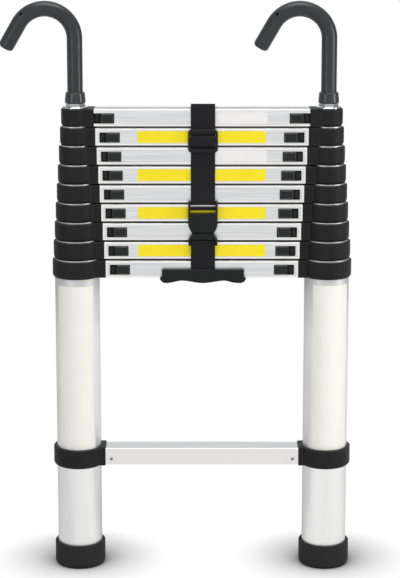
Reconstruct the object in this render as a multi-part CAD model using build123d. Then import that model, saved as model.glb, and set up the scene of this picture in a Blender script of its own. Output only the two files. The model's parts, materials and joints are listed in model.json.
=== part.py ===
from build123d import *
import os

# Telescopic folding ladder, shown folded and standing upright on the floor.
# Millimetres. X runs to the right, Y away from the front, Z up. The origin lies on the floor,
# midway between the two stiles. Stile pieces are drawn on the stile's own axis with +X towards
# the middle of the ladder, then moved to the left stile and mirrored to the right one.

# Layout of the whole ladder
section_count = 9  # nested tube sections in each stile, section 1 is the fixed base
stile_spacing = 386.0  # between the stile axes
rung_pitch = 300.0  # between neighbouring rungs when drawn out
lowest_rung_z = 178.5
stack_gap = 0.3  # between a folded collar and the tube mouth under it
running_gap = 0.3  # between pieces that slide past each other
fixed_fit = 0.05  # between pieces that are pressed or glued together

# Tubes and the guide plugs in their lower ends
tube_od = 69.0  # base section
tube_wall = 1.4
tube_gap = 0.6  # radial gap between nested tubes
tube_lip = 2.0  # mouth of a tube above its collar
tube_overlap = 90.0  # what stays inside the section below when drawn out
guide_depth = 18.0
guide_flange = 4.0
guide_bore_r = 8.0
bead_drop = 63.0  # from the base collar down to the ring crimped into the base tube
bead_width = 1.6
bead_depth = 0.4

# Collars with rung brackets and tongues
collar_over_rung = 0.8  # a collar is this much taller than its rung
collar_wall = 3.4
collar_top_bevel = 0.8
top_collar_bevel = 2.0
collar_foot_rise = 5.0  # height of the rounded lower edge
collar_foot_land = 1.0  # flat width under the ring
bracket_reach = 7.0  # beyond the collar
bracket_lip = 0.9  # bracket stands proud of the rung, front and back
bracket_round = 1.5
bracket_bevel = 0.6
tongue_root = 2.5  # sunk in the bracket
pocket_clearance = 2.0  # behind the lock, in the tongue
spigot_length = 5.0  # solid root of the tongue
stop_length = 4.0  # end wall that the lock spring bears on
tongue_clearance = 0.2

# Rungs
rung_height = 26.2
rung_depth = 36.0
rung_wall = 1.8
rung_corner = 0.8
rung_end_gap = 0.2
panel_depth = 0.4  # sunk panel on the front and back
panel_lip = 2.9  # above and below the panel
panel_end = 2.4  # beside the panel
face_groove_pitch = 3.6
tread_groove_pitch = 4.4
groove_margin = 5.5  # from an edge to the first groove
groove_width = 0.9
groove_depth = 0.3

# Lock buttons, lock pins and springs
button_offset = 6.3  # from the bracket to the opening in the rung
opening_length = 31.2
opening_height = 15.8
opening_corner = 1.5
button_drop = 0.9  # below the middle of the rung
button_travel = 9.5
button_proud = 1.8
button_corner = 1.6
button_bevel = 1.3
button_recess = 0.5
button_rim = 2.4
button_base = 2.2  # plate behind the rung's front wall
plate_lap = 1.0  # plate reaches past the opening in every position
fork_thickness = 2.5
fork_reach = 3.0  # behind the pin's axis
fork_arm = 2.2  # above and below the pin
pin_r = 3.5
pin_flange_step = 2.5  # flange stands out from the pin
pin_flange = 2.5
pin_tail = 3.0  # beyond the spring's stop
pin_clearance = 0.15
spring_clearance = 0.6  # round the pin
spring_wall = 1.4
spring_length = 20.5

# Top of the stiles: cap, threaded plug, lock nut
cap_thickness = 3.4
top_plug_wall = 9.0  # round the hook's stud
stud_clearance = 0.05
cap_hole_clearance = 0.4
top_plug_length = 20.0
nut_margin = 2.8  # from the flange to the edge of the top collar
nut_flange = 2.6
nut_height = 6.8
nut_wall = 6.6  # at the corners

# Hooks and their sleeves
hook_step = 1.9  # from the stud to the hook's bore
hook_wall = 2.0
hook_bend_r = 45.0
hook_bend = 150.0  # degrees
hook_leg = 98.2  # straight length above the lock nut
hook_tip_length = 43.5
hook_end_wall = 5.0
hook_tip_round = 6.0
hook_vent_r = 2.2
hook_vent_angle = 133.0  # degrees round the bend
hook_vent_turn = 31.0  # degrees, towards the outside of the bend
sleeve_wall = 4.3
sleeve_taper = 1.6
sleeve_height = 17.2
sleeve_round = 2.4

# Lower clamps, rivets and feet
clamp_height = 29.6
clamp_wall = 5.3
clamp_reach = 2.1
clamp_foot_land = 2.5
clamp_spigot = 22.0
rivet_r = 2.0
rivet_head_r = 3.4
rivet_head = 1.3
rivet_depth = 9.0
rivet_from_end = 9.3
rivet_drop = 3.7
mandrel_r = 1.1
mandrel_sink = 0.7  # of the broken mandrel below the top of the head
foot_height = 37.0
foot_wall = 4.9
foot_floor = 8.0
foot_round = 7.0
foot_top_round = 1.4
foot_groove_width = 3.0
foot_groove_depth = 1.4
foot_groove_count = 3
foot_groove_pitch = 8.0

# Carrying strap: webbing, slide, buckle and grip
strap_x = 1.5
strap_width = 37.0
strap_thickness = 1.5
strap_clearance = 0.4
strap_fold_r = 0.45  # inside a tight fold
strap_arch = 7.6  # slack over the front of the top rung
strap_arch_r = 5.0
slide_side_bar = 3.7
slide_end_bar = 6.5
slide_slot_gap = 0.5  # beside the webbing
slide_height = 35.8
slide_thickness = 3.0
slide_bar = 11.2
slide_corner = 6.5
slide_drop = 34.9  # from the top rung to the middle of the slide
socket_rise = 58.5  # from the second rung to the mouth of the socket
socket_height = 48.2
buckle_slot_gap = 0.8  # beside the webbing
buckle_side_bar = 3.2  # beside the webbing slots
waist_tuck = 6.0  # each side of the mouth is drawn in
socket_taper = 16.6
socket_thickness = 11.0
socket_bar = 4.0
socket_bar_thickness = 2.8
socket_mid_bar = 5.0
socket_upper_slot = 4.7
socket_lower_slot = 4.2
socket_wall = 2.0
socket_floor = 6.0
socket_round = 1.6
plug_height = 19.6
plug_hip_rise = 8.6
hip_tuck = 0.6
hip_round = 2.6
plug_thickness = 10.0
plug_bar = 6.5
plug_slot = 3.6
plug_arm_width = 5.0
plug_guide_width = 9.0
plug_arm_length = 20.0
plug_play = 0.4
plug_mouth_gap = 0.5
strap_tail = 16.0
grip_width = 126.0
grip_flare = 3.4
grip_flare_rise = 2.6  # of its tip above the floor of the grip
grip_flare_slope = 1.4
grip_bevel = 0.8
grip_wall = 3.0
grip_above = 0.7  # top edge above the middle of the second rung
grip_low = 5.2  # lowest points of the finger edge, below its floor
grip_high = 1.6
grip_end_run = 6.0  # from an end to the outer low point
grip_wave_run = 22.0  # from there to the next high point

collar_height = rung_height + collar_over_rung
stack_pitch = collar_height + tube_lip + stack_gap
draw = rung_pitch - stack_pitch
rung_front = rung_depth / 2
rung_half = rung_height / 2
tongue_half_depth = rung_front - rung_wall - tongue_clearance
tongue_half_height = rung_half - rung_wall - tongue_clearance
tongue_front = tongue_half_depth - button_base - running_gap * 2
plate_run = button_travel + plate_lap + running_gap
pad_length = opening_length - button_travel - 2 * running_gap
panel_height = rung_height - 2 * panel_lip
face_groove_count = int((rung_height - 2 * groove_margin) / face_groove_pitch) + 1
tread_groove_count = int((rung_depth - 2 * groove_margin) / tread_groove_pitch) + 1
fork_half_height = pin_r + running_gap + fork_arm
pin_flange_r = pin_r + pin_flange_step
spring_bore_r = pin_r + spring_clearance
flange_start = button_offset + button_travel + fork_thickness + 2 * running_gap
flange_end = flange_start + pin_flange
spring_stop = flange_end + spring_length + 2 * fixed_fit
tongue_reach = spring_stop + stop_length
slide_slot = strap_width + 2 * slide_slot_gap
slide_width = slide_slot + 2 * slide_side_bar
slot_width = strap_width + 2 * buckle_slot_gap
buckle_width = slot_width + 2 * buckle_side_bar
buckle_waist = buckle_width - 2 * waist_tuck
top_rung = section_count + 1


def tube_r(section):
    return tube_od / 2 - (section - 1) * (tube_wall + tube_gap)


def collar_r(section):
    return tube_r(section) + fixed_fit + collar_wall


def bracket_end(section):
    return collar_r(section) + bracket_reach


def rung_z(rung):
    if rung == 1:
        return lowest_rung_z
    return lowest_rung_z + rung_pitch + (rung - 2) * stack_pitch


def collar_bottom(section):
    return rung_z(section + 1) - collar_height / 2


def collar_top(section):
    return collar_bottom(section) + collar_height


def pin_z(section):
    return rung_z(section + 1) - button_drop


clamp_r = tube_r(1) + fixed_fit + clamp_wall
clamp_end = clamp_r + clamp_reach
top_tube_r = tube_r(section_count)
stud_r = top_tube_r - tube_wall - fixed_fit - top_plug_wall - stud_clearance
nut_flange_r = collar_r(section_count) - nut_margin
nut_hex_r = stud_r + nut_wall
hook_od = 2 * (stud_r + hook_step + hook_wall)
sleeve_r = hook_od / 2 + fixed_fit + sleeve_wall


def rung_half_length(rung):
    end = clamp_end if rung == 1 else bracket_end(rung - 1)
    return stile_spacing / 2 - end - rung_end_gap


def block(x_range, y_range, z_range):
    """Box between two corners, given as ranges."""
    size = [high - low for low, high in (x_range, y_range, z_range)]
    middle = [(low + high) / 2 for low, high in (x_range, y_range, z_range)]
    return Pos(*middle) * Box(*size)


def post(radius, bottom, top):
    """Upright cylinder on the stile axis."""
    return Pos(0, 0, (bottom + top) / 2) * Cylinder(radius, top - bottom)


def rod(radius, start, end, z):
    """Cylinder along X through the stile axis."""
    return Pos((start + end) / 2, 0, z) * Rot(0, 90, 0) * Cylinder(radius, end - start)


def outlined(*runs):
    """Flat face inside a closed chain of lines and arcs."""
    return make_face([edge for run in runs for edge in run.edges()])


def front_plane(x, y, z):
    """Upright plane that faces the front of the ladder, with its own axes along X and Z."""
    return Plane((x, y, z), x_dir=(1, 0, 0), z_dir=(0, -1, 0))


def turned(*runs):
    """Solid of revolution about the stile axis, from its outline in radius and height."""
    return revolve(Plane.XZ * outlined(*runs), Axis.Z)


def both_stiles(piece):
    left = Pos(-stile_spacing / 2, 0, 0) * piece
    return [*left.solids(), *mirror(left, about=Plane.YZ).solids()]


def tubes(section):
    radius = tube_r(section)
    bore = radius - tube_wall
    hole_r = pin_r + pin_clearance
    bottom = foot_floor + fixed_fit
    top = collar_top(section) + tube_lip
    if section > 1:
        bottom = collar_bottom(section) - draw - tube_overlap
    if section == section_count:
        top = collar_top(section) - cap_thickness - fixed_fit
    tube = post(radius, bottom, top) - post(bore, bottom, top)
    if section == 1:
        bead_top = collar_bottom(1) - bead_drop
        bead = post(radius + bead_depth, bead_top - bead_width, bead_top)
        tube -= bead - post(radius - bead_depth, bead_top - bead_width, bead_top)
    if section < section_count:
        tube -= rod(hole_r, 0, radius + tube_wall, pin_z(section))
    if section == 1:
        return both_stiles(tube)
    tube -= rod(hole_r, 0, radius + tube_wall, pin_z(section - 1) - draw)
    guide = post(bore - fixed_fit, bottom - guide_flange, bottom + guide_depth)
    guide += post(radius + tube_gap - running_gap, bottom - guide_flange, bottom - fixed_fit)
    guide -= post(guide_bore_r, bottom - guide_flange, bottom + guide_depth)
    return both_stiles(tube) + both_stiles(guide)


def banded_ring(outer, bore, land, bottom, height, top_bevel=collar_top_bevel):
    """Moulded ring with a rounded lower edge and a bevelled upper one."""
    top = bottom + height
    foot = (bore + land, bottom)
    side = (outer, bottom + collar_foot_rise)
    bevel = (outer, top - top_bevel)
    shoulder = (outer - top_bevel, top)
    round_edge = TangentArc(side, foot, tangent=(0, -1))
    return turned(
        Polyline((bore, bottom), foot),
        round_edge,
        Polyline(side, bevel, shoulder, (bore, top), (bore, bottom)),
    )


def rung_bracket(end, bottom, height):
    """Flat block that carries a rung beside its ring."""
    half_depth = rung_front + bracket_lip
    bracket = block((0, end), (-half_depth, half_depth), (bottom, bottom + height))
    outer_edges = bracket.edges().filter_by(Axis.Z).group_by(Axis.X)[-1]
    bracket = fillet(outer_edges, bracket_round)
    levels = bracket.faces().filter_by(Axis.Z)
    return chamfer(levels.edges(), bracket_bevel)


def tongue(end, reach, front, z):
    """Block that plugs into the hollow end of a rung."""
    return block(
        (end - tongue_root, end + reach),
        (-front, tongue_half_depth),
        (z - tongue_half_height, z + tongue_half_height),
    )


def lock_collars(section):
    z = rung_z(section + 1)
    bottom = collar_bottom(section)
    end = bracket_end(section)
    bore = tube_r(section) + fixed_fit
    stop = end + spring_stop
    moulding = banded_ring(collar_r(section), bore, collar_foot_land, bottom, collar_height)
    moulding += rung_bracket(end, bottom, collar_height) - post(bore, bottom, bottom + collar_height)
    moulding += tongue(end, tongue_reach, tongue_front, z)
    moulding -= block(
        (end + spigot_length, stop),
        (-rung_depth, pin_flange_r + pocket_clearance),
        (z - rung_half, z + rung_half),
    )
    moulding -= rod(pin_r + pin_clearance, 0, end + tongue_reach, pin_z(section))
    opening = end + button_offset
    moulding -= block(
        (opening - plate_run, opening),
        (-rung_front + rung_wall, -tongue_front),
        (z - tongue_half_height, z + tongue_half_height),
    )

    pin = rod(pin_r, tube_r(section + 1) + running_gap, end + tongue_reach + pin_tail, pin_z(section))
    pin += rod(pin_flange_r, end + flange_start, end + flange_end, pin_z(section))
    spring_start = end + flange_end + fixed_fit
    spring_end = stop - fixed_fit
    spring = rod(spring_bore_r + spring_wall, spring_start, spring_end, pin_z(section))
    spring -= rod(spring_bore_r, spring_start, spring_end, pin_z(section))
    return both_stiles(moulding) + both_stiles(pin) + both_stiles(spring)


def top_collars():
    section = section_count
    z = rung_z(top_rung)
    bottom = collar_bottom(section)
    top = collar_top(section)
    end = bracket_end(section)
    bore = tube_r(section) + fixed_fit
    outer = collar_r(section)
    moulding = banded_ring(outer, bore, collar_foot_land, bottom, collar_height, top_collar_bevel)
    moulding += post(outer - top_collar_bevel, top - cap_thickness, top)
    moulding += rung_bracket(end, bottom, collar_height) - post(bore, bottom, top - cap_thickness)
    moulding -= post(stud_r + cap_hole_clearance, bottom, top)
    moulding += tongue(end, tongue_reach, tongue_front, z)
    return both_stiles(moulding)


def rung(number):
    half = rung_half_length(number)
    section = RectangleRounded(rung_depth, rung_height, rung_corner)
    section -= Rectangle(rung_depth - 2 * rung_wall, rung_height - 2 * rung_wall)
    tread_groove = Rectangle(groove_width, 2 * groove_depth)
    tread_places = GridLocations(tread_groove_pitch, 0, tread_groove_count, 1)
    section -= Pos(0, rung_half) * tread_places * tread_groove
    z = rung_z(number)
    body = Pos(0, 0, z) * extrude(Plane.YZ * section, half, both=True)
    if number == 1:
        hole = Cylinder(rivet_r + fixed_fit, rung_depth + rivet_head)
        for side in (-1, 1):
            place = Pos(side * (half - rivet_from_end), 0, z - rivet_drop)
            body -= place * Rot(90, 0, 0) * hole
        return body.solids()
    panel = Sketch() + GridLocations(rung_depth, 0, 2, 1) * Rectangle(2 * panel_depth, panel_height)
    face_groove = Rectangle(2 * (panel_depth + groove_depth), groove_width)
    panel += GridLocations(rung_depth, face_groove_pitch, 2, face_groove_count) * face_groove
    body -= Pos(0, 0, z) * extrude(Plane.YZ * panel, half - panel_end, both=True)
    outer = half + rung_end_gap - button_offset
    inner = outer - opening_length
    if number == top_rung:
        outer = half + opening_corner
        inner = half + rung_end_gap - opening_length
    opening = RectangleRounded(outer - inner, opening_height, opening_corner)
    for side in (-1, 1):
        place = front_plane(side * (outer + inner) / 2, -rung_front + 2 * rung_wall, z - button_drop)
        body -= extrude(place * opening, rung_front)
    return body.solids()


def pad(start, end, z, back):
    """Black face plate with a shallow framed recess, seated in a rung's front opening."""
    length = end - start
    height = opening_height - 2 * running_gap
    front = -rung_front - button_proud
    face = RectangleRounded(length, height, button_corner)
    recess = RectangleRounded(length - 2 * button_rim, height - 2 * button_rim, button_corner)
    middle = (start + end) / 2
    plate = extrude(front_plane(middle, back, z) * face, back - front)
    plate = chamfer(plate.faces().sort_by(Axis.Y)[0].edges(), button_bevel)
    return plate - extrude(front_plane(middle, front, z) * recess, -button_recess)


def lock_button(section, side):
    """Thumb slider of one lock: face pad, plate that shuts the opening and fork round the pin."""
    z = pin_z(section)
    opening = bracket_end(section) + button_offset
    start = opening + button_travel + running_gap
    end = start + pad_length
    wall_back = -rung_front + rung_wall + running_gap
    base_back = wall_back + button_base
    half_base = tongue_half_height + z - rung_z(section + 1)
    button = pad(start, end, z, wall_back)
    button += block(
        (opening - plate_lap, opening + opening_length + button_travel + plate_lap),
        (wall_back, base_back),
        (z - half_base, z + half_base),
    )
    fork = block(
        (start, start + fork_thickness),
        (base_back, fork_reach),
        (z - fork_half_height, z + fork_half_height),
    )
    notch_half = pin_r + running_gap
    fork -= block(
        (start, start + fork_thickness),
        (-notch_half, fork_reach),
        (z - notch_half, z + notch_half),
    )
    left, right = both_stiles(button + fork)
    return [left] if side == "left" else [right]


def top_rung_covers():
    """Fixed covers in the shape of the lock buttons, on the tongues of the top collars."""
    start = bracket_end(section_count) + running_gap
    end = start + opening_length - 2 * running_gap
    z = rung_z(top_rung) - button_drop
    back = -tongue_front - fixed_fit
    half_height = opening_height / 2 - running_gap
    cover = pad(start + button_travel, end, z, back)
    cover += block(
        (start, end),
        (-rung_front + rung_wall + running_gap, back),
        (z - half_height, z + half_height),
    )
    return both_stiles(cover)


def top_plugs():
    top = collar_top(section_count) - cap_thickness - fixed_fit
    radius = tube_r(section_count) - tube_wall - fixed_fit
    plug = post(radius, top - top_plug_length, top)
    plug -= post(stud_r + stud_clearance, top - top_plug_length, top)
    return both_stiles(plug)


nut_bottom = collar_top(section_count)
nut_top = nut_bottom + nut_height
sleeve_bottom = nut_top + running_gap
leg_top = sleeve_bottom + hook_leg


def hook_lock_nuts():
    flange = post(nut_flange_r, nut_bottom, nut_bottom + nut_flange)
    flange = chamfer(flange.faces().sort_by(Axis.Z)[-1].edges(), nut_flange / 2)
    hexagon = extrude(Pos(0, 0, nut_bottom) * RegularPolygon(nut_hex_r, 6), nut_height)
    nut = flange + hexagon - post(stud_r + cap_hole_clearance, nut_bottom, nut_top)
    return both_stiles(nut)


def hook(side):
    """Bent tube with a closed tip, a welded end plug and the stud that screws into the stile."""
    radius = hook_od / 2
    leg = Line((0, sleeve_bottom), (0, leg_top))
    bend = JernArc(leg @ 1, leg % 1, hook_bend_r, hook_bend)
    tip = PolarLine(bend @ 1, hook_tip_length, direction=bend % 1)
    path = Plane.XZ * (leg + bend + tip)
    bore_tip = PolarLine(bend @ 1, hook_tip_length - hook_end_wall, direction=bend % 1)
    bore_path = Plane.XZ * (leg + bend + bore_tip)
    start = Plane((0, 0, sleeve_bottom))
    body = sweep(start * Circle(radius), path=path)
    tip_face = body.faces().filter_by(GeomType.PLANE).sort_by(Axis.X)[0]
    body = fillet(tip_face.edges(), hook_tip_round)
    body -= sweep(start * Circle(radius - hook_wall), path=bore_path)
    body += post(radius - hook_wall / 2, sleeve_bottom, sleeve_bottom + hook_end_wall)
    body += post(stud_r, nut_bottom - cap_thickness - top_plug_length, sleeve_bottom + hook_end_wall)
    around = Pos(-hook_bend_r, 0, leg_top) * Rot(0, -hook_vent_angle, 0) * Pos(hook_bend_r, 0, 0)
    vent = Pos(0, -hook_od / 2, 0) * Rot(90, 0, 0) * Cylinder(hook_vent_r, hook_od)
    body -= around * Rot(0, 0, hook_vent_turn) * vent
    place = -stile_spacing / 2 if side == "left" else stile_spacing / 2
    return (Pos(place, 0, 0) * body).solids()


def hook_sleeve(side):
    top = sleeve_bottom + sleeve_height
    bore = hook_od / 2 + fixed_fit
    outline = make_face(
        Polyline(
            (bore, sleeve_bottom),
            (sleeve_r, sleeve_bottom),
            (sleeve_r - sleeve_taper, top),
            (bore, top),
            close=True,
        )
    )
    rims = outline.vertices().group_by(Axis.X)
    outline = fillet(rims[-1] + rims[-2], sleeve_round)
    sleeve = revolve(Plane.XZ * outline, Axis.Z)
    place = -stile_spacing / 2 if side == "left" else stile_spacing / 2
    return (Pos(place, 0, 0) * sleeve).solids()


def lower_clamps():
    bottom = lowest_rung_z - clamp_height / 2
    bore = tube_r(1) + fixed_fit
    clamp = banded_ring(clamp_r, bore, clamp_foot_land, bottom, clamp_height)
    clamp += rung_bracket(clamp_end, bottom, clamp_height) - post(bore, bottom, bottom + clamp_height)
    clamp += tongue(clamp_end, clamp_spigot, tongue_half_depth, lowest_rung_z)
    hole_x = clamp_end + rung_end_gap + rivet_from_end
    hole = Rot(90, 0, 0) * Cylinder(rivet_r + fixed_fit, rung_depth)
    clamp -= Pos(hole_x, 0, lowest_rung_z - rivet_drop) * hole
    return both_stiles(clamp)


def rung_rivets():
    """Blind rivets, front and back, that hold the lowest rung on its clamps."""
    x = clamp_end + rung_end_gap + rivet_from_end
    rivet = turned(
        Polyline((0, rivet_head), (0, -rivet_depth), (rivet_r, -rivet_depth)),
        Polyline((rivet_r, -rivet_depth), (rivet_r, 0), (rivet_head_r, 0)),
        TangentArc((0, rivet_head), (rivet_head_r, 0), tangent=(1, 0)),
    )
    rivet -= post(mandrel_r, rivet_head - mandrel_sink, rivet_head)
    pieces = []
    for face, turn in ((-rung_front, 90), (rung_front, -90)):
        place = Pos(x, face, lowest_rung_z - rivet_drop)
        pieces += both_stiles(place * Rot(turn, 0, 0) * rivet)
    return pieces


def feet():
    """Rubber cups with a rounded tread edge and grooves in the sole."""
    bore = tube_r(1) + fixed_fit
    outer = bore + foot_wall
    sole = (outer - foot_round, 0)
    edge = (outer, foot_round)
    rim = (outer, foot_height - foot_top_round)
    shoulder = (outer - foot_top_round, foot_height)
    cup = turned(
        Polyline((0, foot_floor), (0, 0), sole),
        RadiusArc(sole, edge, -foot_round),
        Line(edge, rim),
        RadiusArc(rim, shoulder, -foot_top_round),
        Polyline(shoulder, (bore, foot_height), (bore, foot_floor), (0, foot_floor)),
    )
    for ring in range(1, foot_groove_count + 1):
        middle = ring * foot_groove_pitch
        groove = post(middle + foot_groove_width / 2, 0, foot_groove_depth)
        cup -= groove - post(middle - foot_groove_width / 2, 0, foot_groove_depth)
    return both_stiles(cup)


# Webbing lies in two layers on the front of the rungs, at these distances from the ladder's plane
half_web = strap_thickness / 2
strap_bend_r = half_web + strap_fold_r
inner_layer = rung_front + strap_clearance + half_web
outer_layer = inner_layer + strap_thickness + running_gap
slide_back = outer_layer + half_web + running_gap
slide_front = slide_back + slide_thickness
over_slide = slide_front + running_gap + half_web
slide_z = rung_z(top_rung) - slide_drop
mouth_z = rung_z(2) + socket_rise
socket_top = mouth_z + socket_height
buckle_back = rung_front + strap_clearance + running_gap
socket_bar_z = socket_top - socket_bar / 2
bar_back = inner_layer + half_web + running_gap
over_socket = bar_back + socket_bar_thickness + running_gap + half_web
plug_top = mouth_z - plug_mouth_gap
plug_bottom = plug_top - plug_height
plug_bar_top = plug_bottom + plug_bar
around_bar = running_gap + half_web


def webbing(points, radii):
    """Flat woven band along a path of straight runs and round bends, in front of the ladder at -Y."""
    path = Plane.YZ * FilletPolyline(*points, radius=radii)
    start = Plane(origin=path @ 0, x_dir=(1, 0, 0), z_dir=path % 0)
    band = sweep(start * Rectangle(strap_width, strap_thickness), path=path)
    return (Pos(strap_x, 0, 0) * band).solids()


def strap_upper():
    """Loops round the top rung, over the bar of the slide and round the bar of the buckle socket."""
    under = rung_z(top_rung) - rung_half - strap_clearance - half_web
    over = rung_z(top_rung) + rung_half + strap_arch + half_web
    behind = rung_z(top_rung) + rung_half + strap_clearance + half_web
    slide_pass = slide_bar / 2 + around_bar
    socket_pass = socket_bar_z - socket_bar / 2 - around_bar
    points = [
        (-inner_layer, slide_z),
        (-inner_layer, under),
        (inner_layer, under),
        (inner_layer, behind),
        (-outer_layer, over),
        (-outer_layer, slide_z + slide_pass),
        (-over_slide, slide_z + slide_pass),
        (-over_slide, slide_z - slide_pass),
        (-inner_layer, slide_z - slide_pass),
        (-inner_layer, socket_top + strap_tail + socket_bar),
        (-over_socket, socket_top + socket_bar),
        (-over_socket, socket_pass),
        (-inner_layer, socket_pass),
        (-inner_layer, socket_top + strap_tail / 2),
    ]
    bends = [strap_bend_r] * 3 + [strap_arch_r] + [strap_bend_r] * 8
    return webbing(points, bends)


def strap_lower():
    """Comes over the bar of the buckle plug and loops round the second rung inside the grip."""
    over = rung_z(2) + rung_half + strap_clearance + half_web
    under = rung_z(2) - rung_half - strap_clearance - half_web
    over_bar = bar_back + socket_bar_thickness + around_bar
    slot_pass = plug_bar_top + around_bar
    points = [
        (-inner_layer, plug_bottom - strap_tail / 2),
        (-inner_layer, slot_pass),
        (-over_bar, slot_pass),
        (-over_bar, plug_bottom - strap_bend_r),
        (-outer_layer, plug_bottom - strap_tail),
        (-outer_layer, under),
        (inner_layer, under),
        (inner_layer, over),
        (-inner_layer, over),
        (-inner_layer, over + strap_tail / 2),
    ]
    return webbing(points, [strap_bend_r] * 8)


def strap_slide():
    """Three-bar slide that takes up the length of the webbing."""
    slot_height = (slide_height - slide_bar) / 2 - slide_end_bar
    frame = RectangleRounded(slide_width, slide_height, slide_corner)
    frame -= GridLocations(0, slide_bar + slot_height, 1, 2) * Rectangle(slide_slot, slot_height)
    body = extrude(front_plane(strap_x, -slide_back, slide_z) * frame, slide_thickness)
    rim = body.faces().sort_by(Axis.Y)[0].outer_wire().edges()
    return chamfer(rim, slide_thickness / 4).solids()


def buckle_socket():
    """Housing of the side-release buckle: webbing bars above, hollow mouth below."""
    half = buckle_width / 2
    waist = buckle_waist / 2
    shoulder = mouth_z + socket_taper
    outline = outlined(
        Line((-waist, mouth_z), (waist, mouth_z)),
        TangentArc((half, shoulder), (waist, mouth_z), tangent=(0, -1)),
        Polyline((half, shoulder), (half, socket_top), (-half, socket_top), (-half, shoulder)),
        TangentArc((-half, shoulder), (-waist, mouth_z), tangent=(0, -1)),
    )
    body = extrude(front_plane(strap_x, -buckle_back, 0) * outline, socket_thickness)
    rim = body.faces().sort_by(Axis.Y)[0].outer_wire().edges()
    body = chamfer(rim, socket_round)

    across = (strap_x - slot_width / 2, strap_x + slot_width / 2)
    through = (-buckle_back - socket_thickness, -buckle_back)
    upper_slot_top = socket_top - socket_bar
    mid_bar_top = upper_slot_top - socket_upper_slot
    lower_slot_top = mid_bar_top - socket_mid_bar
    body -= block(across, through, (mid_bar_top, upper_slot_top))
    body -= block(across, through, (lower_slot_top - socket_lower_slot, lower_slot_top))
    bar_front = bar_back + socket_bar_thickness
    bars = (lower_slot_top - socket_lower_slot, socket_top)
    body -= block(across, (-buckle_back - socket_thickness, -bar_front), bars)
    body -= block(across, (-bar_back, -buckle_back), bars)

    cavity_half = waist - socket_wall
    cavity = (-buckle_back - socket_thickness + socket_wall, -buckle_back - socket_wall)
    cavity_top = lower_slot_top - socket_lower_slot - socket_floor + socket_wall
    body -= block((strap_x - cavity_half, strap_x + cavity_half), cavity, (mouth_z, cavity_top))
    return body.solids()


def buckle_plug():
    """Plug of the buckle: hips with a webbing slot, centre guide and two latch arms."""
    half = buckle_width / 2
    waist = buckle_waist / 2
    end = half - hip_tuck
    hip = plug_bottom + plug_hip_rise
    outline = outlined(
        Polyline((-end, plug_bottom), (end, plug_bottom), (half, hip), (waist, plug_top)),
        Polyline((waist, plug_top), (-waist, plug_top), (-half, hip), (-end, plug_bottom)),
    )
    corners = outline.vertices().group_by(Axis.X)
    outline = fillet(corners[0] + corners[1] + corners[-2] + corners[-1], hip_round)
    body = extrude(front_plane(strap_x, -buckle_back, 0) * outline, plug_thickness)
    rim = body.faces().sort_by(Axis.Y)[0].outer_wire().edges()
    body = chamfer(rim, socket_round / 2)
    across = (strap_x - slot_width / 2, strap_x + slot_width / 2)
    through = (-buckle_back - plug_thickness, -buckle_back)
    body -= block(across, through, (plug_bar_top, plug_bar_top + plug_slot))
    bar_front = bar_back + socket_bar_thickness
    body -= block(across, (-buckle_back - plug_thickness, -bar_front), (plug_bottom, plug_bar_top))
    body -= block(across, (-bar_back, -buckle_back), (plug_bottom, plug_bar_top))

    arm_outer = waist - socket_wall - plug_play
    front = -buckle_back - socket_thickness + socket_wall + plug_play
    depth = (front, -buckle_back - socket_wall - plug_play)
    for side in (-1, 1):
        arm = sorted((strap_x + side * arm_outer, strap_x + side * (arm_outer - plug_arm_width)))
        body += block(arm, depth, (plug_top - socket_wall, plug_top + plug_arm_length))
    guide = (strap_x - plug_guide_width / 2, strap_x + plug_guide_width / 2)
    body += block(guide, depth, (plug_top - socket_wall, plug_top + plug_arm_length))
    return body.solids()


def carry_grip():
    """Moulded saddle under the second rung, with a waved edge for the fingers."""
    floor = rung_z(2) - rung_half - strap_clearance - strap_thickness - running_gap
    top = rung_z(2) + grip_above
    half = grip_width / 2
    flare = half + grip_flare
    flare_z = floor + grip_flare_rise
    low = floor - grip_low
    high = floor - grip_high
    low_x = half - grip_end_run
    high_x = low_x - grip_wave_run
    wave = Spline(
        (-low_x, low), (-high_x, high), (0, low), (high_x, high), (low_x, low),
        tangents=[(1, 0), (1, 0)],
    )
    outline = outlined(
        Polyline((-half, top), (half, top), (half, flare_z + grip_flare_slope), (flare, flare_z)),
        TangentArc((low_x, low), (flare, flare_z), tangent=(1, 0)),
        wave,
        TangentArc((-low_x, low), (-flare, flare_z), tangent=(-1, 0)),
        Polyline((-flare, flare_z), (-half, flare_z + grip_flare_slope), (-half, top)),
    )
    inner = outer_layer + half_web + running_gap
    outer = inner + grip_wall
    body = extrude(front_plane(strap_x, outer, 0) * outline, 2 * outer)
    ends = body.faces().filter_by(Axis.Y)
    body = chamfer(ends.edges(), grip_bevel)
    body -= block((strap_x - flare, strap_x + flare), (-inner, inner), (floor, top))
    return body.solids()


nodes = {
    "feet": feet(),
    "lower_clamps": lower_clamps(),
    "rung_rivets": rung_rivets(),
    "top_collars": top_collars(),
    "top_plugs": top_plugs(),
    "top_rung_covers": top_rung_covers(),
    "hook_lock_nuts": hook_lock_nuts(),
    "strap_upper": strap_upper(),
    "strap_lower": strap_lower(),
    "strap_slide": strap_slide(),
    "buckle_socket": buckle_socket(),
    "buckle_plug": buckle_plug(),
    "carry_grip": carry_grip(),
}
for side in ("left", "right"):
    nodes[f"hook_{side}"] = hook(side)
    nodes[f"hook_sleeve_{side}"] = hook_sleeve(side)
for section in range(1, section_count + 1):
    nodes[f"tubes_{section}"] = tubes(section)
for number in range(1, top_rung + 1):
    nodes[f"rung_{number}"] = rung(number)
for section in range(1, section_count):
    nodes[f"lock_collars_{section}"] = lock_collars(section)
    for side in ("left", "right"):
        nodes[f"button_{section + 1}_{side}"] = lock_button(section, side)

os.makedirs("parts", exist_ok=True)
for name, solids in nodes.items():
    export_step(Compound(children=list(solids)), f"parts/{name}.step")
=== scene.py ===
import json
from math import cos, pi, radians, sin

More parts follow.
